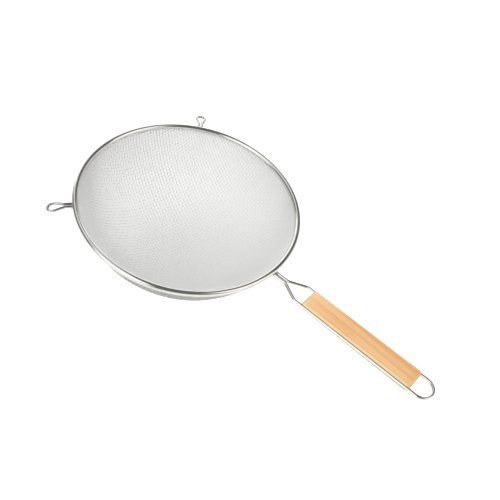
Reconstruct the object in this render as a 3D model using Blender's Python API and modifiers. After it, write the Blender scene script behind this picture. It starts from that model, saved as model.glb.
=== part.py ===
"""Large round strainer: a double wire-mesh bowl in a rolled steel rim, with two
rest hooks opposite a wire handle that carries a flat wooden grip.

Lengths are metres and +Z is up.  Every piece is modelled with the rim level and
the rim's centre at the origin, the handle along +X.  One empty then leans the
whole strainer into the pose in which it stands on a table: on the bottom of its
bowl and on the end of its handle.
"""

import math

import bmesh
import bpy
import numpy as np
from mathutils import Vector

MM = 0.001

# --- clearances and resolution -------------------------------------------------
GAP = 0.3 * MM              # air between neighbouring pieces
SEGMENTS = 48               # facets round the turned pieces
BOWL_RINGS = 11             # facets from the bottom of the bowl to its edge
WIRE_RESOLUTION = 3         # gives wires ten sides
ARC_STEP = math.radians(14) # turn between two points on a bent wire

# --- rim -----------------------------------------------------------------------
RIM_RADIUS = 126.5 * MM     # centre of the rolled rim
BAND_RADIUS = 3.5 * MM      # outside of the roll
BAND_SHEET = 0.5 * MM
INNER_LIP_ANGLE = 190.0     # degrees round the roll's section, 0 outwards, 90 up
OUTER_LIP_ANGLE = -90.0
CORE_WIRE_RADIUS = 1.2 * MM
CORE_WIRE_OUT = 1.2 * MM    # core wire's centre from the roll's centre
CORE_WIRE_UP = 0.9 * MM

# --- mesh bowls, both part of spheres about one centre ---------------------------
BOWL_DEPTH = 93.2 * MM      # rim plane to the middle of the coarse mesh
BOWL_MOUTH_RADIUS = 125.3 * MM  # middle of the coarse mesh where it enters the rim
BOWL_MOUTH_DROP = 2.2 * MM  # and how far below the rim plane that is
BOWL_EDGE_DROP = 0.9 * MM   # the mesh ends inside the roll, this far below the rim plane
COARSE_THICKNESS = 1.8 * MM # two crossing wires of the reinforcing mesh
FINE_THICKNESS = 0.6 * MM   # two crossing wires of the straining mesh

# --- rest hooks ------------------------------------------------------------------
HOOK_WIRE_RADIUS = 1.85 * MM
HOOKS = (                   # name, degrees round the rim from the handle, degrees of dip
    ("left", -127.7, 9.7),
    ("right", 127.1, 11.9),
)
HOOK_LEG_OFFSET = 2.1 * MM  # each leg from the hook's middle line
HOOK_LEG_END = 137.5 * MM   # the legs run parallel out to here
HOOK_EYE_RADIUS = 5.1 * MM
HOOK_REACH = 155.5 * MM     # rim centre to the middle of the wire at the tip
HOOK_BEND = 7.0 * MM

# --- handle rod --------------------------------------------------------------------
ROD_RADIUS = 2.0 * MM
ROD_LEG_OFFSET = 2.15 * MM  # the two ends lie side by side
ROD_NECK_START = 145.5 * MM
ROD_NECK_END = 165.5 * MM
ROD_GROOVE_OFFSET = 12.6 * MM
ROD_LOOP_CENTRE = 323.5 * MM
ROD_BEND = 12.0 * MM
ROD_ROOT_DROP = 2.8 * MM    # below the rim plane, where the rod meets the rim
HANDLE_RISE = 0.0165        # metres up for each metre along the handle

# --- wooden grip ---------------------------------------------------------------------
GRIP_FRONT = 174.6 * MM
GRIP_REAR = 314.8 * MM
GRIP_WIDTH = 26.6 * MM
GRIP_FRONT_THICKNESS = 8.4 * MM
GRIP_REAR_THICKNESS = 10.8 * MM
GRIP_EDGE = 1.5 * MM
GROOVE_SIDES = 24

# --- weld beads ------------------------------------------------------------------------
HANDLE_BEAD_SIZE = (3.2 * MM, 4.3 * MM, 2.0 * MM)
HANDLE_BEAD_PLACE = (130.8 * MM, 0.0, -4.7 * MM)
HOOK_BEAD_SIZE = (2.6 * MM, 3.8 * MM, 1.7 * MM)
HOOK_BEAD_PLACE = (131.0 * MM, 0.0, -2.3 * MM)
BEAD_SEGMENTS = 16
BEAD_RINGS = 10

# --- colours: linear colour, roughness, metallic ------------------------------------------
MATERIALS = {
    "coarse_mesh_wire": ((0.62, 0.61, 0.58), 0.32, 1.0),
    "fine_mesh_wire": ((0.68, 0.67, 0.65), 0.38, 1.0),
    "rim_steel": ((0.78, 0.77, 0.75), 0.12, 1.0),
    "bright_wire": ((0.75, 0.75, 0.74), 0.14, 1.0),
    "weld": ((0.42, 0.41, 0.39), 0.45, 1.0),
    "light_wood": ((0.84, 0.53, 0.26), 0.55, 0.0),
}


# --- scene helpers ---------------------------------------------------------------------------

def clear_scene():
    """Remove whatever the file holds, without closing it."""
    for obj in list(bpy.data.objects):
        bpy.data.objects.remove(obj, do_unlink=True)


def new_collection(name):
    collection = bpy.data.collections.new(name)
    bpy.context.scene.collection.children.link(collection)
    return collection


def material(name):
    """A Principled material from the MATERIALS table, made once."""
    if name in bpy.data.materials:
        return bpy.data.materials[name]
    colour, roughness, metallic = MATERIALS[name]
    mat = bpy.data.materials.new(name)
    mat.use_nodes = True
    shader = mat.node_tree.nodes["Principled BSDF"]
    shader.inputs["Base Color"].default_value = (*colour, 1.0)
    shader.inputs["Roughness"].default_value = roughness
    shader.inputs["Metallic"].default_value = metallic
    return mat


def add_object(name, data, collection, parent, material_name=None):
    obj = bpy.data.objects.new(name, data)
    collection.objects.link(obj)
    obj.parent = parent
    if material_name:
        data.materials.append(material(material_name))
    return obj


def make_cutter(obj):
    obj.hide_render = True
    obj.display_type = "WIRE"


def cut(obj, cutter, crosses_itself=False):
    modifier = obj.modifiers.new("cut_" + cutter.name, "BOOLEAN")
    modifier.operation = "DIFFERENCE"
    modifier.solver = "EXACT"
    modifier.use_self = crosses_itself
    modifier.object = cutter


# --- shape helpers -----------------------------------------------------------------------------

def arc(centre, radius, start, end, steps):
    """Points (across, up) on an arc, from one angle in degrees to another."""
    angles = np.radians(np.linspace(start, end, steps + 1))
    return [(centre[0] + radius * math.cos(a), centre[1] + radius * math.sin(a)) for a in angles]


def turned(name, profile, closed, collection, parent, material_name=None):
    """Turn a profile of (radius, height) points about Z with a Screw modifier."""
    mesh = bpy.data.meshes.new(name)
    edges = [(i, i + 1) for i in range(len(profile) - 1)]
    if closed:
        edges.append((len(profile) - 1, 0))
    mesh.from_pydata([(radius, 0.0, height) for radius, height in profile], edges, [])
    obj = add_object(name, mesh, collection, parent, material_name)
    screw = obj.modifiers.new("turn", "SCREW")
    screw.steps = SEGMENTS
    screw.render_steps = SEGMENTS
    screw.use_smooth_shade = True
    screw.use_merge_vertices = True
    screw.merge_threshold = 0.00001
    return obj


def rounded_path(corners, radius):
    """A flat path of (x, y) corners with each inner corner bent to the given radius."""
    points = [Vector(corners[0])]
    for before, corner, after in zip(corners, corners[1:], corners[2:]):
        corner = Vector(corner)
        to_start = (Vector(before) - corner).normalized()
        to_end = (Vector(after) - corner).normalized()
        half_turn = (math.pi - to_start.angle(to_end)) / 2
        centre = corner + (to_start + to_end).normalized() * radius / math.cos(half_turn)
        first = corner + to_start * radius * math.tan(half_turn) - centre
        last = corner + to_end * radius * math.tan(half_turn) - centre
        sweep = first.angle_signed(last)
        steps = max(2, math.ceil(abs(sweep) / ARC_STEP))
        for i in range(steps + 1):
            turn = -sweep * i / steps
            x = first.x * math.cos(turn) - first.y * math.sin(turn)
            y = first.x * math.sin(turn) + first.y * math.cos(turn)
            points.append(centre + Vector((x, y)))
    points.append(Vector(corners[-1]))
    return points


def hairpin(side, bend_x, bend_radius):
    """One side of a hairpin, its half-round bend, and the other side mirrored."""
    steps = math.ceil(math.pi / ARC_STEP)
    bend = []
    for i in range(1, steps):
        angle = math.pi / 2 - math.pi * i / steps
        x = bend_x + bend_radius * math.cos(angle)
        bend.append(Vector((x, bend_radius * math.sin(angle))))
    mirrored = [Vector((p.x, -p.y)) for p in reversed(side)]
    return side + bend + mirrored


def wire(name, points, radius, collection, parent, material_name=None):
    """A round wire with flat ends along a list of points."""
    curve = bpy.data.curves.new(name, "CURVE")
    curve.dimensions = "3D"
    curve.bevel_depth = radius
    curve.bevel_resolution = WIRE_RESOLUTION
    curve.use_fill_caps = True
    spline = curve.splines.new("POLY")
    spline.points.add(len(points) - 1)
    for point, place in zip(spline.points, points):
        point.co = (*place, 1.0)
    return add_object(name, curve, collection, parent, material_name)


def wire_to_mesh(obj, collection):
    """Replace a wire by a closed mesh of the same shape, so that it can cut."""
    bpy.context.view_layer.update()
    evaluated = obj.evaluated_get(bpy.context.evaluated_depsgraph_get())
    mesh = bpy.data.meshes.new_from_object(evaluated)
    shell = bmesh.new()
    shell.from_mesh(mesh)
    bmesh.ops.remove_doubles(shell, verts=shell.verts, dist=0.00001)
    shell.to_mesh(mesh)
    shell.free()
    name = obj.name
    matrix = obj.matrix_world.copy()
    parent = obj.parent
    bpy.data.objects.remove(obj, do_unlink=True)
    closed = add_object(name, mesh, collection, parent)
    closed.matrix_world = matrix
    return closed


# --- rim -----------------------------------------------------------------------------------------

def build_rim(parts, parent):
    """The rolled band, open below its inner side for the mesh, and the wire in it."""
    roll = (RIM_RADIUS, 0.0)
    outside = arc(roll, BAND_RADIUS, INNER_LIP_ANGLE, OUTER_LIP_ANGLE, 14)
    inside = arc(roll, BAND_RADIUS - BAND_SHEET, OUTER_LIP_ANGLE, INNER_LIP_ANGLE, 10)
    turned("rim_band", outside + inside, True, parts, parent, "rim_steel")

    core = (RIM_RADIUS + CORE_WIRE_OUT, CORE_WIRE_UP)
    section = arc(core, CORE_WIRE_RADIUS, 360.0, 45.0, 7)
    turned("rim_core_wire", section, True, parts, parent, "bright_wire")


def rim_clearance(cutters, parent):
    """The rim's roll, grown by the gap, for cutting what is welded to it."""
    section = arc((RIM_RADIUS, 0.0), BAND_RADIUS + GAP, 360.0, 22.5, 15)
    cutter = turned("rim_clearance", section, True, cutters, parent)
    make_cutter(cutter)
    return cutter


# --- mesh bowls --------------------------------------------------------------------------------------

def bowl_sphere():
    """Centre height and radius of the sphere through the coarse mesh's middle."""
    rise = BOWL_DEPTH - BOWL_MOUTH_DROP
    radius = (BOWL_MOUTH_RADIUS ** 2 + rise ** 2) / (2 * rise)
    return radius - BOWL_DEPTH, radius


def build_bowl(name, outer_radius, inner_radius, parts, parent, material_name):
    """One woven bowl as a closed shell between two spheres about one centre."""
    centre_height, middle_radius = bowl_sphere()
    edge = math.degrees(math.asin((centre_height + BOWL_EDGE_DROP) / middle_radius))
    centre = (0.0, centre_height)
    inner_side = arc(centre, inner_radius, -90.0, -edge, BOWL_RINGS)
    outer_side = arc(centre, outer_radius, -edge, -90.0, BOWL_RINGS)
    profile = inner_side + outer_side
    on_axis = (0, len(profile) - 1)
    profile = [(0.0, z) if i in on_axis else (r, z) for i, (r, z) in enumerate(profile)]
    turned(name, profile, False, parts, parent, material_name)


def build_bowls(parts, parent):
    _, middle = bowl_sphere()
    outside = middle + COARSE_THICKNESS / 2
    inside = middle - COARSE_THICKNESS / 2
    build_bowl("outer_mesh", outside, inside, parts, parent, "coarse_mesh_wire")
    build_bowl("inner_mesh", inside - GAP, inside - GAP - FINE_THICKNESS, parts, parent,
               "fine_mesh_wire")


# --- rest hooks ----------------------------------------------------------------------------------------

def hook_points(angle, dip):
    """The hook's wire: two legs that open into an eye, dipping away from the rim."""
    root = RIM_RADIUS + BAND_RADIUS + GAP
    eye_centre = HOOK_REACH - HOOK_EYE_RADIUS
    side = rounded_path([(root, HOOK_LEG_OFFSET), (HOOK_LEG_END, HOOK_LEG_OFFSET),
                         (eye_centre - HOOK_EYE_RADIUS / 2, HOOK_EYE_RADIUS),
                         (eye_centre, HOOK_EYE_RADIUS)], HOOK_BEND)
    points = []
    for p in hairpin(side, eye_centre, HOOK_EYE_RADIUS):
        x = p.x * math.cos(angle) - p.y * math.sin(angle)
        y = p.x * math.sin(angle) + p.y * math.cos(angle)
        z = -(p.x - root) * math.tan(dip)
        points.append((x, y, z))
    return points


def build_hook(side_name, angle, dip, rim_cutter, parts, cutters, parent):
    points = hook_points(angle, dip)
    wire("hook_" + side_name, points, HOOK_WIRE_RADIUS, parts, parent, "bright_wire")
    clearance = wire("hook_clearance_" + side_name, points, HOOK_WIRE_RADIUS + GAP, cutters, parent)
    clearance = wire_to_mesh(clearance, cutters)
    make_cutter(clearance)
    bead = build_bead("hook_weld_" + side_name, HOOK_BEAD_SIZE, HOOK_BEAD_PLACE, angle, parts, parent)
    cut(bead, rim_cutter)
    cut(bead, clearance)


# --- weld beads --------------------------------------------------------------------------------------------

def build_bead(name, size, place, angle, parts, parent):
    """A flattened lump of weld metal, turned about Z to where it joins the rim."""
    mesh = bpy.data.meshes.new(name)
    ball = bmesh.new()
    bmesh.ops.create_uvsphere(ball, u_segments=BEAD_SEGMENTS, v_segments=BEAD_RINGS, radius=1.0)
    bmesh.ops.scale(ball, vec=Vector(size), verts=ball.verts)
    bmesh.ops.translate(ball, vec=Vector(place), verts=ball.verts)
    ball.to_mesh(mesh)
    ball.free()
    mesh.shade_smooth()
    bead = add_object(name, mesh, parts, parent, "weld")
    bead.rotation_euler = (0.0, 0.0, angle)
    return bead


# --- handle ------------------------------------------------------------------------------------------------

def rod_height(x):
    """Height of the rod's middle, which rises slightly along the handle."""
    return -ROD_ROOT_DROP + (x - RIM_RADIUS) * HANDLE_RISE


def rod_points():
    """One rod: side by side at the rim, apart along the grip, round at the end."""
    root = RIM_RADIUS + BAND_RADIUS + GAP
    side = rounded_path([(root, ROD_LEG_OFFSET), (ROD_NECK_START, ROD_LEG_OFFSET),
                         (ROD_NECK_END, ROD_GROOVE_OFFSET),
                         (ROD_LOOP_CENTRE, ROD_GROOVE_OFFSET)], ROD_BEND)
    return [(p.x, p.y, rod_height(p.x)) for p in hairpin(side, ROD_LOOP_CENTRE, ROD_GROOVE_OFFSET)]


def build_grip(parts, cutters, parent):
    """A flat bar, thicker to the rear, with a groove down each side for the rod."""
    length = GRIP_REAR - GRIP_FRONT
    middle = (GRIP_REAR + GRIP_FRONT) / 2
    lean = -math.atan(HANDLE_RISE)
    place = (middle, 0.0, rod_height(middle))

    mesh = bpy.data.meshes.new("wooden_grip")
    bar = bmesh.new()
    bmesh.ops.create_cube(bar, size=1.0)
    for vert in bar.verts:
        thickness = GRIP_REAR_THICKNESS if vert.co.x > 0 else GRIP_FRONT_THICKNESS
        vert.co = Vector((vert.co.x * length, vert.co.y * GRIP_WIDTH, vert.co.z * thickness))
    bar.to_mesh(mesh)
    bar.free()
    grip = add_object("wooden_grip", mesh, parts, parent, "light_wood")
    grip.location = place
    grip.rotation_euler = (0.0, lean, 0.0)
    bevel = grip.modifiers.new("eased_edges", "BEVEL")
    bevel.width = GRIP_EDGE
    bevel.segments = 3

    for side_name, side in (("left", -1), ("right", 1)):
        bpy.ops.mesh.primitive_cylinder_add(vertices=GROOVE_SIDES, radius=ROD_RADIUS + GAP,
                                            depth=length * 1.2)
        groove = bpy.context.object
        groove.name = "groove_" + side_name
        for collection in list(groove.users_collection):
            collection.objects.unlink(groove)
        cutters.objects.link(groove)
        groove.parent = parent
        groove.location = (middle, side * ROD_GROOVE_OFFSET, rod_height(middle))
        groove.rotation_euler = (0.0, math.pi / 2 + lean, 0.0)
        make_cutter(groove)
        cut(grip, groove)


def build_handle(rim_cutter, parts, cutters, parent):
    points = rod_points()
    wire("handle_rod", points, ROD_RADIUS, parts, parent, "bright_wire")
    clearance = wire("rod_clearance", points, ROD_RADIUS + GAP, cutters, parent)
    clearance = wire_to_mesh(clearance, cutters)
    make_cutter(clearance)
    bead = build_bead("handle_weld", HANDLE_BEAD_SIZE, HANDLE_BEAD_PLACE, 0.0, parts, parent)
    cut(bead, rim_cutter)
    cut(bead, clearance, crosses_itself=True)
    build_grip(parts, cutters, parent)


# --- resting pose -----------------------------------------------------------------------------

def world_points(objects):
    """All points of the evaluated objects, as rows of x, y, z."""
    bpy.context.view_layer.update()
    depsgraph = bpy.context.evaluated_depsgraph_get()
    rows = []
    for obj in objects:
        evaluated = obj.evaluated_get(depsgraph)
        mesh = evaluated.to_mesh()
        rows.extend(evaluated.matrix_world @ v.co for v in mesh.vertices)
        evaluated.to_mesh_clear()
    return np.array([tuple(row) for row in rows])


def resting_lean(bowl, rod):
    """The lean, found by halving, at which bowl and handle end touch one level."""
    low, high = 0.0, math.radians(40)
    for _ in range(40):
        lean = (low + high) / 2
        up = np.array([-math.sin(lean), 0.0, math.cos(lean)])
        if (bowl @ up).min() < (rod @ up).min():
            low = lean
        else:
            high = lean
    return lean


def stand_on_table(parts, parent):
    """Lean the strainer, then bring its box's bottom centre to the origin."""
    bowl = world_points([bpy.data.objects["outer_mesh"]])
    rod = world_points([bpy.data.objects["handle_rod"]])
    parent.rotation_euler = (0.0, resting_lean(bowl, rod), 0.0)
    points = world_points(parts.objects)
    low, high = points.min(axis=0), points.max(axis=0)
    parent.location = (-(low[0] + high[0]) / 2, -(low[1] + high[1]) / 2, -low[2])
    bpy.context.view_layer.update()


def build():
    clear_scene()
    parts = new_collection("strainer")
    cutters = new_collection("cutters")
    pose = bpy.data.objects.new("resting_pose", None)
    bpy.context.scene.collection.objects.link(pose)

    build_rim(parts, pose)
    build_bowls(parts, pose)
    rim_cutter = rim_clearance(cutters, pose)
    for name, angle, dip in HOOKS:
        build_hook(name, math.radians(angle), math.radians(dip), rim_cutter, parts, cutters, pose)
    build_handle(rim_cutter, parts, cutters, pose)
    stand_on_table(parts, pose)


build()
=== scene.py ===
"""Looks of the large round strainer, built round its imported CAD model.

Pieces are made with the rim level, its centre at the origin and the handle along
+X, and POSE leans them into the resting pose that the CAD model has.
"""

import math

import bpy
import numpy as np
from mathutils import Matrix, Vector


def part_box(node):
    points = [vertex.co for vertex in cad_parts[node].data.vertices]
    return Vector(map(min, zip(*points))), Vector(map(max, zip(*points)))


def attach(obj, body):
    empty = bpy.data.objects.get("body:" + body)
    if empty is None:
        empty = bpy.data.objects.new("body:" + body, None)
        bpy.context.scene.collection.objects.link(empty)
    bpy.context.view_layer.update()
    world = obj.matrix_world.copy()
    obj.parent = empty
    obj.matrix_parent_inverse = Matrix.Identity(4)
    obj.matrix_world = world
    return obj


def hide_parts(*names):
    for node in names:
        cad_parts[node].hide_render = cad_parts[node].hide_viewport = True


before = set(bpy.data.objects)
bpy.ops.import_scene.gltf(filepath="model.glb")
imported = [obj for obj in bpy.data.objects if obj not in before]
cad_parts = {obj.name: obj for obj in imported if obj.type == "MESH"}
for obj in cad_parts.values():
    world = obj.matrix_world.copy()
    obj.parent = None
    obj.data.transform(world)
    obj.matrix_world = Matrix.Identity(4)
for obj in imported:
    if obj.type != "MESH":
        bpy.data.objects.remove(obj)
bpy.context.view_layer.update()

MM = 0.001

# --- sizes the CAD model has, in its level frame --------------------------------------
RIM_RADIUS = 126.5 * MM
BAND_RADIUS = 3.5 * MM
BAND_SHEET = 0.5 * MM
CORE_WIRE_RADIUS = 1.2 * MM
CORE_WIRE_OUT = 1.2 * MM
CORE_WIRE_UP = 0.9 * MM
BOWL_DEPTH = 93.2 * MM
BOWL_MOUTH_RADIUS = 125.3 * MM
BOWL_MOUTH_DROP = 2.2 * MM
BOWL_EDGE_DROP = 0.9 * MM
HOOK_WIRE_RADIUS = 1.85 * MM
HOOK_LEG_OFFSET = 2.1 * MM
HOOK_LEG_END = 137.5 * MM
HOOK_EYE_RADIUS = 5.1 * MM
HOOK_REACH = 155.5 * MM
HOOK_BEND = 7.0 * MM
HOOK_INSET = 0.4 * MM       # how far a hook's feet run into the rim
HOOK_SLOPE_START = 0.3 * MM  # a hook slopes down from this far outside the rim
HOOK_ARCH = 1.1 * MM        # rise of a hook's middle above its straight slope
HOOKS = (("left", -127.7, 9.7), ("right", 127.1, 11.9))
ROD_RADIUS = 2.0 * MM
ROD_LEG_OFFSET = 2.15 * MM
ROD_NECK_START = 145.5 * MM
ROD_NECK_END = 165.5 * MM
ROD_GROOVE_OFFSET = 12.6 * MM
ROD_LOOP_CENTRE = 323.5 * MM
ROD_BEND = 12.0 * MM
ROD_ROOT_DROP = 2.8 * MM
ROD_INSET = 0.6 * MM        # how far the rod's ends run into the rim
HANDLE_RISE = 0.0165
GRIP_FRONT = 174.6 * MM
GRIP_REAR = 314.8 * MM
GRIP_WIDTH = 26.6 * MM
GRIP_FRONT_THICKNESS = 8.4 * MM
GRIP_REAR_THICKNESS = 10.8 * MM
GRIP_EDGE = 1.5 * MM
GRIP_END_ROUND = 0.7        # the ends are rounded by this share of the edge
GRIP_END_LENGTH = 3 * MM    # the middle stations start this far from each end
GROOVE_RADIUS = 2.3 * MM
GROOVE_TALL = 1.18          # how many times taller the groove is than a round one
GRIP_BEVEL = 1.7            # how many times wider the rounded edge is than tall

# --- detail that only the looks have --------------------------------------------------
COARSE_PITCH = 3.87 * MM
COARSE_WIRE = 0.45 * MM     # radius
FINE_PITCH = 1.0 * MM
FINE_WIRE = 0.2 * MM        # radius
WEAVE_TURN = math.radians(-14.35)   # direction of one set of wires, from the handle
FINE_TURN = math.radians(31.0)
MESH_GAP = 0.05 * MM        # between the two weaves
RIM_STEPS = 240
HOOK_STEP = 0.7 * MM
HOOK_SIDES = 16
ROD_STEP = 1.0 * MM
ROD_SIDES = 20
BEAD_ROWS = 24
BEAD_TURNS = 40
ROD_BEAD_SIZE = (2.6 * MM, 3.9 * MM, 1.9 * MM)
ROD_BEAD_PLACE = (131.3 * MM, 0, -3.0 * MM)
HOOK_BEAD_SIZE = (1.9 * MM, 3.6 * MM, 1.6 * MM)
HOOK_BEAD_PLACE = (130.7 * MM, 0, -1.4 * MM)


def level_pose():
    """The pose of the level frame, read off the rim's box: its centre and its lean."""
    low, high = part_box("rim_band")
    rise = (high.z - low.z) / 2 - BAND_RADIUS
    lean = math.asin(rise / RIM_RADIUS)
    return Matrix.Translation((low + high) / 2) @ Matrix.Rotation(lean, 4, "Y")


POSE = level_pose()


# --- meshes ---------------------------------------------------------------------------

def show(name, mesh, mat, node, matrix=POSE):
    """Show a mesh in place of a CAD node."""
    mesh.transform(matrix)
    obj = bpy.data.objects.new(name, mesh)
    bpy.context.scene.collection.objects.link(obj)
    mesh.materials.append(mat)
    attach(obj, "root")
    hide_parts(node)


def mesh_from(name, verts, quads, ngons=()):
    """A smooth mesh from an array of points, an array of quads and a few larger faces."""
    mesh = bpy.data.meshes.new(name)
    verts = np.asarray(verts, np.float32)
    quads = np.asarray(quads, np.int32).reshape(-1, 4)
    corners = np.concatenate([quads.ravel()] + [np.asarray(n, np.int32) for n in ngons])
    totals = np.array([4] * len(quads) + [len(n) for n in ngons], np.int32)
    starts = np.concatenate([[0], np.cumsum(totals)[:-1]]).astype(np.int32)
    mesh.vertices.add(len(verts))
    mesh.vertices.foreach_set("co", verts.ravel())
    mesh.loops.add(len(corners))
    mesh.loops.foreach_set("vertex_index", corners)
    mesh.polygons.add(len(totals))
    mesh.polygons.foreach_set("loop_start", starts)
    mesh.polygons.foreach_set("use_smooth", np.ones(len(totals), bool))
    mesh.update(calc_edges=True)
    mesh.validate()
    return mesh


def unit(a):
    return a / np.linalg.norm(a, axis=-1, keepdims=True)


class Tubes:
    """Gathers round wires into one mesh."""

    def __init__(self, sides):
        angles = np.arange(sides) * 2 * math.pi / sides
        self.sides = sides
        self.cos = np.cos(angles)[None, :, None]
        self.sin = np.sin(angles)[None, :, None]
        self.verts, self.quads, self.caps, self.count = [], [], [], 0

    def add(self, points, up, radius, closed=False):
        points = np.asarray(points, float)
        if closed:
            along = np.roll(points, -1, axis=0) - np.roll(points, 1, axis=0)
        else:
            along = np.gradient(points, axis=0)
        along = unit(along)
        side = unit(np.cross(along, np.broadcast_to(up, points.shape)))
        top = np.cross(side, along)
        radius = np.broadcast_to(radius, len(points))[:, None, None]
        ring = points[:, None] + radius * (self.cos * top[:, None] + self.sin * side[:, None])
        n, s = len(points), self.sides
        index = self.count + np.arange(n * s).reshape(n, s)
        if closed:
            index = np.vstack([index, index[:1]])
        here, after = index[:-1], index[1:]
        quads = np.stack([here, after, np.roll(after, -1, axis=1), np.roll(here, -1, axis=1)], -1)
        self.verts.append(ring.reshape(-1, 3))
        self.quads.append(quads.reshape(-1, 4))
        if not closed:
            self.caps += [index[0], index[-1][::-1]]
        self.count += n * s

    def mesh(self, name):
        return mesh_from(name, np.concatenate(self.verts), np.concatenate(self.quads), self.caps)


def turned(name, section, steps):
    """A closed section of (radius, height) points turned about Z."""
    section = np.array(section)
    angles = np.arange(steps) * 2 * math.pi / steps
    verts = np.stack([section[:, 0] * np.cos(angles)[:, None], section[:, 0] * np.sin(angles)[:, None],
                      np.broadcast_to(section[:, 1], (steps, len(section)))], -1)
    index = np.arange(steps * len(section)).reshape(steps, -1)
    after = np.roll(index, -1, axis=0)
    quads = np.stack([index, after, np.roll(after, -1, axis=1), np.roll(index, -1, axis=1)], -1)
    return mesh_from(name, verts.reshape(-1, 3), quads.reshape(-1, 4))


def arc(centre, radius, start, end, steps):
    angles = np.radians(np.linspace(start, end, steps + 1))
    return [(centre[0] + radius * math.cos(a), centre[1] + radius * math.sin(a)) for a in angles]


def rounded_path(corners, radius, step):
    """A flat path with each inner corner bent to the radius, as points about step apart."""
    points = [Vector(corners[0])]
    for before, corner, after in zip(corners, corners[1:], corners[2:]):
        corner = Vector(corner)
        to_start = (Vector(before) - corner).normalized()
        to_end = (Vector(after) - corner).normalized()
        half_turn = (math.pi - to_start.angle(to_end)) / 2
        centre = corner + (to_start + to_end).normalized() * radius / math.cos(half_turn)
        first = corner + to_start * radius * math.tan(half_turn) - centre
        last = corner + to_end * radius * math.tan(half_turn) - centre
        sweep = first.angle_signed(last)
        steps = max(4, math.ceil(abs(sweep) * radius / step))
        for i in range(steps + 1):
            points.append(centre + Matrix.Rotation(-sweep * i / steps, 2) @ first)
    points.append(Vector(corners[-1]))
    filled = []
    for a, b in zip(points, points[1:]):
        pieces = max(1, round((b - a).length / step))
        filled += [a.lerp(b, i / pieces) for i in range(pieces)]
    return filled + [points[-1]]


def hairpin(side, bend_x, bend_radius, step):
    steps = math.ceil(math.pi * bend_radius / step)
    turn = [math.pi / 2 - math.pi * i / steps for i in range(1, steps)]
    bend = [Vector((bend_x + bend_radius * math.cos(a), bend_radius * math.sin(a))) for a in turn]
    return side + bend + [Vector((p.x, -p.y)) for p in reversed(side)]


# --- materials ------------------------------------------------------------------------

class Nodes:
    """Short names for making a material's nodes."""

    def __init__(self, name):
        self.material = bpy.data.materials.new(name)
        self.material.use_nodes = True
        self.tree = self.material.node_tree
        self.shader = self.tree.nodes["Principled BSDF"]
        self.place = self.new("ShaderNodeTexCoord").outputs["Object"]

    def new(self, kind, **inputs):
        node = self.tree.nodes.new(kind)
        for key, value in inputs.items():
            self.feed(node.inputs[key.replace("_", " ")], value)
        return node

    def feed(self, socket, value):
        if isinstance(value, bpy.types.NodeSocket):
            self.tree.links.new(value, socket)
        else:
            socket.default_value = value

    def stretched(self, scale):
        node = self.new("ShaderNodeMapping", Vector=self.place)
        node.inputs["Scale"].default_value = scale
        return node.outputs["Vector"]

    def noise(self, scale, detail=4.0, roughness=0.55, distortion=0.0, vector=None):
        node = self.new("ShaderNodeTexNoise", Vector=vector or self.place, Scale=scale,
                        Detail=detail, Roughness=roughness, Distortion=distortion)
        return node.outputs["Fac"]

    def ramp(self, factor, *stops):
        node = self.new("ShaderNodeValToRGB", Fac=factor)
        elements = node.color_ramp.elements
        while len(elements) < len(stops):
            elements.new(0.5)
        for element, (position, colour) in zip(elements, stops):
            element.position = position
            element.color = (*colour, 1.0)
        return node.outputs["Color"]

    def between(self, factor, low, high, to_low, to_high):
        node = self.new("ShaderNodeMapRange", Value=factor)
        names = ("From Min", "From Max", "To Min", "To Max")
        for key, value in zip(names, (low, high, to_low, to_high)):
            node.inputs[key].default_value = value
        return node.outputs["Result"]

    def mix(self, kind, factor, a, b):
        node = self.tree.nodes.new("ShaderNodeMix")
        node.data_type = "RGBA"
        node.blend_type = kind
        self.feed(node.inputs[0], factor)
        self.feed(node.inputs[6], a)
        self.feed(node.inputs[7], b)
        return node.outputs[2]

    def maths(self, kind, a, b=None):
        node = self.tree.nodes.new("ShaderNodeMath")
        node.operation = kind
        self.feed(node.inputs[0], a)
        if b is not None:
            self.feed(node.inputs[1], b)
        return node.outputs[0]

    def bump(self, height, distance, strength=1.0):
        node = self.new("ShaderNodeBump", Height=height, Distance=distance, Strength=strength)
        self.feed(self.shader.inputs["Normal"], node.outputs["Normal"])


def steel(name, dark, light, smooth, rough, grain, bump, metallic=1.0):
    """Steel whose tone and polish vary a little over the surface."""
    n = Nodes(name)
    broad = n.noise(grain * 0.12, detail=3.0)
    fine = n.noise(grain, detail=6.0, roughness=0.65)
    n.feed(n.shader.inputs["Base Color"], n.ramp(broad, (0.3, dark), (0.7, light)))
    n.feed(n.shader.inputs["Roughness"], n.between(fine, 0.3, 0.7, smooth, rough))
    n.shader.inputs["Metallic"].default_value = metallic
    n.bump(fine, bump)
    return n.material


WOOD_DARK = (0.82, 0.44, 0.197)
WOOD_MIDDLE = (0.86, 0.53, 0.267)
WOOD_LIGHT = (0.86, 0.563, 0.293)
WOOD_YELLOW = (0.87, 0.61, 0.315)
# painted highlight colour for the bar's rounded long edges and ends
WOOD_PAINTED_HIGHLIGHT = (0.94, 0.78, 0.465)
# painted shade colour for the grooves and the sides round the rod
WOOD_PAINTED_SHADE = (0.30, 0.14, 0.045)
# the painted highlight on the rounded long edges, and on the ends, is full this far from the bar's
# middle
EDGE_HIGHLIGHT_REACH = 12.1 * MM
END_HIGHLIGHT_REACH = (GRIP_REAR - GRIP_FRONT) / 2 - 0.5 * MM
YELLOW_FRONT = (-60.0 * MM, -20.0 * MM)   # along the bar, yellower to plain
GRAIN_TURN = math.radians(2.0)
# the painted highlights waver with the grain and fade in over these widths
EDGE_WANDER = 0.4 * MM
EDGE_HIGHLIGHT_FADE = 0.8 * MM
END_HIGHLIGHT_FADE = 1.5 * MM
# painted shade on the sides round the rod and in the grooves
SIDE_SHADE_SPAN = (EDGE_HIGHLIGHT_REACH - 2.4 * MM, EDGE_HIGHLIGHT_REACH - 0.5 * MM)   # across the bar, none to full
GROOVE_SHADE_SPAN = (2.7 * MM, 3.3 * MM)   # off the bar's middle plane, full to none


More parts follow.
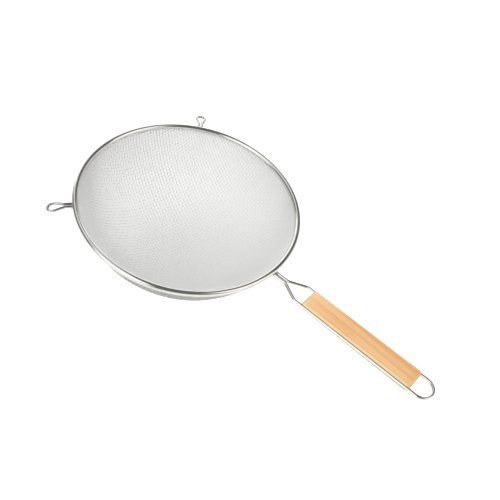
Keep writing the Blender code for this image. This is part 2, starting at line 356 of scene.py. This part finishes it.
def wood(name, bar):
    """Light oiled wood with a fine grain that runs almost along the bar; a painted highlight
    pales the rounded edges and ends, and painted shade darkens the grooves and sides round the rod."""
    n = Nodes(name)
    level = n.new("ShaderNodeMapping", Vector=n.place)
    level.vector_type = "TEXTURE"
    level.inputs["Location"].default_value = bar.to_translation()
    level.inputs["Rotation"].default_value = bar.to_euler()
    split = n.new("ShaderNodeSeparateXYZ", Vector=level.outputs["Vector"])
    turned_grain = n.new("ShaderNodeMapping", Vector=level.outputs["Vector"])
    turned_grain.inputs["Rotation"].default_value = (0.0, 0.0, GRAIN_TURN)
    n.place = turned_grain.outputs["Vector"]
    wander = n.noise(1.0, detail=2.0, vector=n.stretched((9.0, 30.0, 30.0)))
    bands = n.noise(1.0, detail=3.0, roughness=0.6, distortion=0.5,
                    vector=n.stretched((6.0, 360.0, 160.0)))
    streaks = n.noise(1.0, detail=8.0, roughness=0.7, distortion=0.3,
                      vector=n.stretched((14.0, 1000.0, 700.0)))
    pores = n.noise(1.0, detail=2.0, roughness=0.6, vector=n.stretched((170.0, 3800.0, 3800.0)))
    base = n.ramp(bands, (0.36, WOOD_DARK), (0.50, WOOD_MIDDLE), (0.64, WOOD_LIGHT))
    rings = n.noise(1.0, detail=2.0, roughness=0.5, distortion=0.4,
                    vector=n.stretched((4.0, 560.0, 240.0)))
    ring_lines = n.ramp(rings, (0.40, (0.90, 0.76, 0.62)), (0.52, (1.0, 1.0, 1.0)))
    base = n.mix("MULTIPLY", 0.8, base, ring_lines)
    lines = n.ramp(streaks, (0.38, (0.86, 0.68, 0.50)), (0.56, (1.0, 1.0, 1.0)))
    base = n.mix("MULTIPLY", 0.5, base, lines)
    specks = n.ramp(pores, (0.28, (0.66, 0.48, 0.36)), (0.40, (1.0, 1.0, 1.0)))
    base = n.mix("MULTIPLY", 0.45, base, specks)
    front = n.between(split.outputs["X"], *YELLOW_FRONT, 0.5, 0.0)
    yellow = n.maths("MAXIMUM", front, n.between(wander, 0.45, 0.65, 0.0, 0.4))
    base = n.mix("MIX", yellow, base, (*WOOD_YELLOW, 1.0))
    # painted highlight on the rounded long edges, its line wavering with the grain
    wavering = n.between(streaks, 0.3, 0.7, -EDGE_WANDER, EDGE_WANDER)
    across = n.maths("ADD", n.maths("ABSOLUTE", split.outputs["Y"]), wavering)
    edge = n.between(across, EDGE_HIGHLIGHT_REACH - EDGE_HIGHLIGHT_FADE, EDGE_HIGHLIGHT_REACH, 0.0, 0.85)
    base = n.mix("MIX", edge, base, (*WOOD_PAINTED_HIGHLIGHT, 1.0))
    # painted highlight on the rounded ends of the bar
    length = n.maths("ABSOLUTE", split.outputs["X"])
    end = n.between(length, END_HIGHLIGHT_REACH - END_HIGHLIGHT_FADE, END_HIGHLIGHT_REACH, 0.0, 0.6)
    base = n.mix("MIX", end, base, (*WOOD_PAINTED_HIGHLIGHT, 1.0))
    # painted shade in the grooves and on the sides round the rod
    height = n.maths("ABSOLUTE", split.outputs["Z"])
    outer_shade = n.between(across, *SIDE_SHADE_SPAN, 0.0, 1.0)
    side = n.maths("MULTIPLY", n.between(height, *GROOVE_SHADE_SPAN, 0.95, 0.0), outer_shade)
    base = n.mix("MIX", side, base, (*WOOD_PAINTED_SHADE, 1.0))
    n.feed(n.shader.inputs["Base Color"], base)
    n.feed(n.shader.inputs["Roughness"], n.between(streaks, 0.3, 0.7, 0.42, 0.30))
    n.bump(n.mix("ADD", 0.5, streaks, pores), 0.00005, 0.5)
    return n.material


GRIP_MIDDLE = (GRIP_REAR + GRIP_FRONT) / 2


def rod_height(x):
    return -ROD_ROOT_DROP + (x - RIM_RADIUS) * HANDLE_RISE


BAR_POSE = POSE @ Matrix.Translation((GRIP_MIDDLE, 0, rod_height(GRIP_MIDDLE)))
BAR_POSE = BAR_POSE @ Matrix.Rotation(-math.atan(HANDLE_RISE), 4, "Y")
COARSE_STEEL = steel("coarse_mesh_wire_look", (0.60, 0.60, 0.59), (0.68, 0.68, 0.67),
                     0.50, 0.62, 1800.0, 0.00001, metallic=0.8)
FINE_STEEL = steel("fine_mesh_wire_look", (0.94, 0.94, 0.935), (0.99, 0.99, 0.985),
                   0.40, 0.54, 2600.0, 0.000005, metallic=0.38)
RIM_STEEL = steel("rim_steel_look", (0.74, 0.73, 0.71), (0.82, 0.81, 0.79),
                  0.07, 0.13, 900.0, 0.000004)
WIRE_STEEL = steel("bright_wire_look", (0.76, 0.75, 0.74), (0.85, 0.84, 0.83),
                   0.09, 0.16, 1200.0, 0.000006)
HOOK_STEEL = steel("hook_wire_look", (0.50, 0.49, 0.48), (0.62, 0.61, 0.60),
                   0.10, 0.18, 1200.0, 0.000006)
WELD_STEEL = steel("weld_look", (0.22, 0.20, 0.18), (0.52, 0.50, 0.47),
                   0.28, 0.50, 1500.0, 0.00006)
WOOD = wood("light_wood_look", BAR_POSE)


# --- woven bowls ----------------------------------------------------------------------

def bowl_sphere():
    """The height of the centre of the ball that the bowl is part of, and its radius."""
    rise = BOWL_DEPTH - BOWL_MOUTH_DROP
    radius = (BOWL_MOUTH_RADIUS ** 2 + rise ** 2) / (2 * rise)
    return radius - BOWL_DEPTH, radius


def cloth_net(step, count):
    """Directions to the crossings of flat cloth pressed over a ball: every stretch of
    wire keeps its length and the squares shear.  Rows and columns run from -count to
    count, the wires through the bottom cross squarely there."""
    net = np.zeros((count + 1, count + 1, 3))
    turn = np.arange(count + 1) * step
    net[:, 0] = np.stack([np.sin(turn), 0 * turn, -np.cos(turn)], -1)
    net[0, :] = np.stack([0 * turn, np.sin(turn), -np.cos(turn)], -1)
    for total in range(2, 2 * count + 1):
        i = np.arange(max(1, total - count), min(count, total - 1) + 1)
        j = total - i
        before, a, b = net[i - 1, j - 1], net[i, j - 1], net[i - 1, j]
        across = unit(np.cross(a, b))
        net[i, j] = before - 2 * (before * across).sum(-1, keepdims=True) * across
    whole = np.zeros((2 * count + 1, 2 * count + 1, 3))
    for si in (1, -1):
        for sj in (1, -1):
            part = net * np.array([si, sj, 1])
            rows = slice(count, None) if si > 0 else slice(count, None, -1)
            columns = slice(count, None) if sj > 0 else slice(count, None, -1)
            whole[rows, columns] = part
    return whole


def weave(name, radius, pitch, wire_radius, turn, steps, sides):
    """Plain weave of round wires over the bowl's sphere, cut off inside the rim."""
    centre_height, _ = bowl_sphere()
    step = pitch / radius
    lowest_edge = (centre_height + BOWL_EDGE_DROP) / radius
    reach = math.acos(lowest_edge)
    count = math.ceil(reach / step) + 2
    net = cloth_net(step, count)
    c, s = math.cos(turn), math.sin(turn)
    net = net @ np.array([[c, s, 0], [-s, c, 0], [0, 0, 1]])
    place = np.arange(0, 2 * count + 1e-9, 1 / steps)
    cell = np.minimum(place.astype(int), 2 * count - 1)
    part = (place - cell)[:, None]
    wave = np.cos(math.pi * (place - count))
    tubes = Tubes(sides)
    for over, lines in ((1, net.transpose(1, 0, 2)), (-1, net)):
        for k, line in enumerate(lines):
            ways = unit(line[cell] * (1 - part) + line[cell + 1] * part)
            inside = -ways[:, 2] > lowest_edge
            if not inside[count * steps]:
                continue
            first = count * steps - np.argmin(inside[count * steps::-1]) + 1
            last = count * steps + np.argmin(inside[count * steps:])
            ways = ways[first:last]
            if len(ways) < 3:
                continue
            lift = over * (-1) ** (k - count) * wave[first:last] * wire_radius
            points = ways * (radius + lift)[:, None] + np.array([0, 0, centre_height])
            tubes.add(points, ways, wire_radius)
    return tubes.mesh(name)


def make_bowls():
    _, coarse_radius = bowl_sphere()
    coarse = weave("coarse_weave", coarse_radius, COARSE_PITCH, COARSE_WIRE, WEAVE_TURN, 4, 6)
    show("coarse_weave", coarse, COARSE_STEEL, "outer_mesh")
    fine_radius = coarse_radius - 2 * COARSE_WIRE - MESH_GAP - 2 * FINE_WIRE
    fine = weave("fine_weave", fine_radius, FINE_PITCH, FINE_WIRE, FINE_TURN, 1, 4)
    show("fine_weave", fine, FINE_STEEL, "inner_mesh")


# --- rim, hooks and rod ---------------------------------------------------------------

def make_rim():
    roll = (RIM_RADIUS, 0.0)
    outside = arc(roll, BAND_RADIUS, 190.0, -90.0, 36)
    lip = arc((RIM_RADIUS, -BAND_RADIUS + BAND_SHEET / 2), BAND_SHEET / 2, -90.0, -270.0, 4)[1:-1]
    inside = arc(roll, BAND_RADIUS - BAND_SHEET, -90.0, 190.0, 24)
    band = turned("rolled_rim", outside + lip + inside, RIM_STEPS)
    show("rolled_rim", band, RIM_STEEL, "rim_band")
    core = (RIM_RADIUS + CORE_WIRE_OUT, CORE_WIRE_UP)
    section = arc(core, CORE_WIRE_RADIUS, 360.0, 22.5, 15)
    wire = turned("rim_filler_wire", section, RIM_STEPS)
    show("rim_filler_wire", wire, WIRE_STEEL, "rim_core_wire")


def make_hooks():
    root = RIM_RADIUS + BAND_RADIUS - HOOK_INSET
    slope_start = RIM_RADIUS + BAND_RADIUS + HOOK_SLOPE_START
    centre = HOOK_REACH - HOOK_EYE_RADIUS
    side = rounded_path([(root, HOOK_LEG_OFFSET), (HOOK_LEG_END, HOOK_LEG_OFFSET),
                         (centre - HOOK_EYE_RADIUS / 2, HOOK_EYE_RADIUS), (centre, HOOK_EYE_RADIUS)],
                        HOOK_BEND, HOOK_STEP)
    for name, angle, dip in HOOKS:
        points = []
        for p in hairpin(side, centre, HOOK_EYE_RADIUS, HOOK_STEP):
            out = p.x - slope_start
            share = max(0.0, out / (HOOK_REACH - slope_start))
            arch = HOOK_ARCH * math.sin(math.pi * min(1.0, share))
            points.append((p.x, p.y, -out * math.tan(math.radians(dip)) + arch))
        turn = Matrix.Rotation(math.radians(angle), 3, "Z")
        tubes = Tubes(HOOK_SIDES)
        tubes.add([turn @ Vector(p) for p in points], (0, 0, 1), HOOK_WIRE_RADIUS)
        mesh = tubes.mesh("hook_wire_" + name)
        show("hook_wire_" + name, mesh, HOOK_STEEL, "hook_" + name)


def make_rod():
    root = RIM_RADIUS + BAND_RADIUS - ROD_INSET
    side = rounded_path([(root, ROD_LEG_OFFSET), (ROD_NECK_START, ROD_LEG_OFFSET),
                         (ROD_NECK_END, ROD_GROOVE_OFFSET), (ROD_LOOP_CENTRE, ROD_GROOVE_OFFSET)],
                        ROD_BEND, ROD_STEP)
    path = hairpin(side, ROD_LOOP_CENTRE, ROD_GROOVE_OFFSET, ROD_STEP)
    points = [(p.x, p.y, rod_height(p.x)) for p in path]
    tubes = Tubes(ROD_SIDES)
    tubes.add(points, (0, 0, 1), ROD_RADIUS)
    show("bent_rod", tubes.mesh("bent_rod"), WIRE_STEEL, "handle_rod")


# --- weld beads -----------------------------------------------------------------------

def bead(name, node, size, place, angle, seed):
    """A flattened lump with a rough, slightly lobed surface."""
    rows, turns = BEAD_ROWS, BEAD_TURNS
    rng = np.random.default_rng(seed)
    lobes = rng.uniform(0, 2 * math.pi, 6)
    polar = (np.arange(rows) + 0.5) * math.pi / rows
    round_ = np.arange(turns) * 2 * math.pi / turns
    p, a = np.meshgrid(polar, round_, indexing="ij")
    swell = 1 + 0.05 * np.sin(3 * a + lobes[0]) * np.sin(p)
    swell = swell + 0.04 * np.sin(5 * a + lobes[1]) * np.sin(2 * p)
    swell += 0.03 * np.sin(4 * p + lobes[2])
    ball = np.stack([np.sin(p) * np.cos(a), np.sin(p) * np.sin(a), np.cos(p)], -1) * swell[..., None]
    verts = ball * np.array(size) + np.array(place)
    index = np.arange(rows * turns).reshape(rows, turns)
    here, after = index[:-1], index[1:]
    quads = np.stack([here, after, np.roll(after, -1, axis=1), np.roll(here, -1, axis=1)], -1)
    mesh = mesh_from(name, verts.reshape(-1, 3), quads.reshape(-1, 4), [index[0], index[-1][::-1]])
    show(name, mesh, WELD_STEEL, node, POSE @ Matrix.Rotation(math.radians(angle), 4, "Z"))


def make_beads():
    bead("rod_bead", "handle_weld", ROD_BEAD_SIZE, ROD_BEAD_PLACE, 0.0, 1)
    for k, (name, angle, _) in enumerate(HOOKS):
        bead("hook_bead_" + name, "hook_weld_" + name, HOOK_BEAD_SIZE, HOOK_BEAD_PLACE,
             angle, 2 + k)


# --- wooden grip ----------------------------------------------------------------------

def grip_section(half_width, half_thickness, edge):
    """One quarter is mirrored: rounded corner, then into the groove along the side."""
    wide = edge * GRIP_BEVEL
    corner = [(half_width - wide + wide * y, half_thickness - edge + edge * z)
              for y, z in arc((0, 0), 1, 90.0, 0.0, 8)]
    mouth = math.degrees(math.acos(min(1.0, (half_width - ROD_GROOVE_OFFSET) / GROOVE_RADIUS)))
    groove = arc((ROD_GROOVE_OFFSET, 0.0), GROOVE_RADIUS, mouth, 180.0, 8)
    groove = [(y, z * GROOVE_TALL) for y, z in groove]
    quarter = [(0.0, half_thickness), ((half_width - wide) / 2, half_thickness)] + corner + groove
    right = quarter + [(y, -z) for y, z in reversed(quarter[1:-1])]
    return right + [(-y, -z) for y, z in right]


def make_grip():
    length = GRIP_REAR - GRIP_FRONT
    # Known fault: these stations run from the full section out to the end face, and the
    # next one is further in again, so each end folds over itself.
    front = []
    for k in range(6):
        angle = math.radians(90 * k / 5)
        from_end = GRIP_EDGE * (1 - math.sin(angle)) * GRIP_END_ROUND
        inset = GRIP_EDGE * (1 - math.cos(angle)) * GRIP_END_ROUND
        front.append((-length / 2 + from_end, inset))
    middle = np.linspace(-length / 2 + GRIP_END_LENGTH, length / 2 - GRIP_END_LENGTH, 24)
    along = [(x, 0.0) for x in middle]
    stations = front + along + [(-x, inset) for x, inset in reversed(front)]
    rings = []
    for x, inset in stations:
        share = x / length + 0.5
        thickness = GRIP_FRONT_THICKNESS + (GRIP_REAR_THICKNESS - GRIP_FRONT_THICKNESS) * share
        section = grip_section(GRIP_WIDTH / 2 - inset, thickness / 2 - inset, GRIP_EDGE)
        rings.append([(x, y, z) for y, z in section])
    verts = np.array(rings)
    index = np.arange(verts.shape[0] * verts.shape[1]).reshape(verts.shape[:2])
    here, after = index[:-1], index[1:]
    quads = np.stack([here, np.roll(here, -1, axis=1), np.roll(after, -1, axis=1), after], -1)
    mesh = mesh_from("wood_bar", verts.reshape(-1, 3), quads.reshape(-1, 4), [index[0][::-1], index[-1]])
    show("wood_bar", mesh, WOOD, "wooden_grip", BAR_POSE)
    mesh.set_sharp_from_angle(angle=math.radians(40))


# --- floor, light and camera ----------------------------------------------------------

# the camera's place and its right and up directions in the level frame, in rim radii
CAMERA_PLACE = Vector((2.76435873, -4.09293898, 5.21687248))
CAMERA_RIGHT = Vector((0.74827483, 0.63155986, 0.20301951))
CAMERA_UP = Vector((-0.59418595, 0.50196889, 0.62846662))
LENS = 57.6

# soft boxes: azimuth from the camera, elevation, half width and half height in degrees, strength
SOFT_BOXES = (
    (-48.0, 36.0, 27.0, 37.0, 1.35),
    (61.0, 22.0, 21.0, 40.0, 1.2),
    (182.0, 24.0, 41.0, 32.0, 1.3),
    (-110.0, 70.0, 44.0, 22.0, 0.8),
)
ROOM_LIGHT = 0.16
HORIZON_LIGHT = 0.72
FLOOR_GLOW = 0.26
FLOOR_SHOWN = 0.60          # more glow, seen by the camera only
FLOOR_COLOUR = (0.84, 0.84, 0.83, 1.0)
FLOOR_HALF = 4.0
BOX_FADE = (0.8, 1.12)      # share of a soft box's half size, full to none
HORIZON_FADE = (0.05, 0.42)  # height of the view direction, full to none
LIGHT_POWER = 13.0
LIGHT_SIZE = 1.1
LIGHT_PLACE = (-0.30, 0.45, 1.35)
LIGHT_AIM = (0.0, 0.0, 0.05)


def make_camera():
    data = bpy.data.cameras.new("camera")
    data.lens = LENS
    data.sensor_width = 36.0
    data.clip_start = 0.01
    camera = bpy.data.objects.new("camera", data)
    bpy.context.scene.collection.objects.link(camera)
    back = CAMERA_RIGHT.cross(CAMERA_UP).normalized()
    matrix = Matrix((CAMERA_RIGHT, CAMERA_UP, back)).transposed().to_4x4()
    matrix.translation = CAMERA_PLACE * RIM_RADIUS
    camera.matrix_world = POSE @ matrix
    bpy.context.scene.camera = camera
    return camera


def make_floor():
    mesh = bpy.data.meshes.new("floor")
    size = FLOOR_HALF
    corners = [(-size, -size, 0), (size, -size, 0), (size, size, 0), (-size, size, 0)]
    mesh.from_pydata(corners, [], [(0, 1, 2, 3)])
    floor = bpy.data.objects.new("floor", mesh)
    bpy.context.scene.collection.objects.link(floor)
    mat = bpy.data.materials.new("floor_white")
    mat.use_nodes = True
    shader = mat.node_tree.nodes["Principled BSDF"]
    shader.inputs["Base Color"].default_value = FLOOR_COLOUR
    shader.inputs["Roughness"].default_value = 0.9
    shader.inputs["Specular IOR Level"].default_value = 0.0
    shader.inputs["Emission Color"].default_value = (1.0, 1.0, 1.0, 1.0)
    tree = mat.node_tree
    path = tree.nodes.new("ShaderNodeLightPath").outputs["Is Camera Ray"]
    glow = tree.nodes.new("ShaderNodeMath")
    glow.operation = "MULTIPLY_ADD"
    glow.inputs[1].default_value = FLOOR_SHOWN
    glow.inputs[2].default_value = FLOOR_GLOW
    tree.links.new(path, glow.inputs[0])
    tree.links.new(glow.outputs[0], shader.inputs["Emission Strength"])
    mesh.materials.append(mat)


def make_world(camera):
    """A dim studio with soft boxes and a paler strip along the horizon.  They light the
    pieces and show in them, while the camera itself sees plain white past the floor."""
    world = bpy.data.worlds.new("studio")
    bpy.context.scene.world = world
    world.use_nodes = True
    tree = world.node_tree
    background = tree.nodes["Background"]
    background.inputs["Color"].default_value = (1.0, 1.0, 1.0, 1.0)
    place = tree.nodes.new("ShaderNodeTexCoord").outputs["Generated"]
    way = camera.matrix_world.translation - POSE.translation
    facing = math.atan2(way.y, way.x)

    def vector(kind, a, b):
        node = tree.nodes.new("ShaderNodeVectorMath")
        node.operation = kind
        tree.links.new(a, node.inputs[0])
        node.inputs[1].default_value = b
        return node.outputs["Value"]

    def math_node(kind, a, b=None):
        node = tree.nodes.new("ShaderNodeMath")
        node.operation = kind
        for socket, value in zip(node.inputs, (a, b)):
            if isinstance(value, bpy.types.NodeSocket):
                tree.links.new(value, socket)
            elif value is not None:
                socket.default_value = value
        return node.outputs[0]

    def smooth(value, low, high, to_low, to_high):
        node = tree.nodes.new("ShaderNodeMapRange")
        node.interpolation_type = "SMOOTHSTEP"
        tree.links.new(value, node.inputs["Value"])
        names = ("From Min", "From Max", "To Min", "To Max")
        for key, number in zip(names, (low, high, to_low, to_high)):
            node.inputs[key].default_value = number
        return node.outputs["Result"]

    light = None
    for azimuth, elevation, half_width, half_height, strength in SOFT_BOXES:
        a, e = facing + math.radians(azimuth), math.radians(elevation)
        ahead = Vector((math.cos(a) * math.cos(e), math.sin(a) * math.cos(e), math.sin(e)))
        across = Vector((-math.sin(a), math.cos(a), 0.0))
        upward = ahead.cross(across)
        x = vector("DOT_PRODUCT", place, across / math.sin(math.radians(half_width)))
        y = vector("DOT_PRODUCT", place, upward / math.sin(math.radians(half_height)))
        z = vector("DOT_PRODUCT", place, ahead)
        squares = math_node("ADD", math_node("MULTIPLY", x, x), math_node("MULTIPLY", y, y))
        inside = smooth(math_node("SQRT", squares), *BOX_FADE, strength, 0.0)
        box = math_node("MULTIPLY", inside, smooth(z, -0.05, 0.1, 0.0, 1.0))
        light = box if light is None else math_node("MAXIMUM", light, box)
    height = math_node("ABSOLUTE", vector("DOT_PRODUCT", place, Vector((0, 0, 1))))
    horizon = smooth(height, *HORIZON_FADE, HORIZON_LIGHT, ROOM_LIGHT)
    light = math_node("MAXIMUM", light, horizon)
    path = tree.nodes.new("ShaderNodeLightPath").outputs["Is Camera Ray"]
    shown = tree.nodes.new("ShaderNodeMix")
    tree.links.new(path, shown.inputs[0])
    tree.links.new(light, shown.inputs[2])
    shown.inputs[3].default_value = 1.0
    tree.links.new(shown.outputs[0], background.inputs["Strength"])


def make_light():
    """One large soft light, left out of reflections, which come from the world."""
    data = bpy.data.lights.new("softbox", "AREA")
    data.energy = LIGHT_POWER
    data.size = LIGHT_SIZE
    light = bpy.data.objects.new("softbox", data)
    bpy.context.scene.collection.objects.link(light)
    light.visible_glossy = False
    light.location = LIGHT_PLACE
    way = Vector(LIGHT_AIM) - Vector(light.location)
    light.rotation_euler = way.to_track_quat("-Z", "Y").to_euler()


make_rim()
make_bowls()
make_hooks()
make_rod()
make_beads()
make_grip()
camera = make_camera()
make_floor()
make_world(camera)
make_light()
bpy.context.scene.view_settings.view_transform = "Standard"
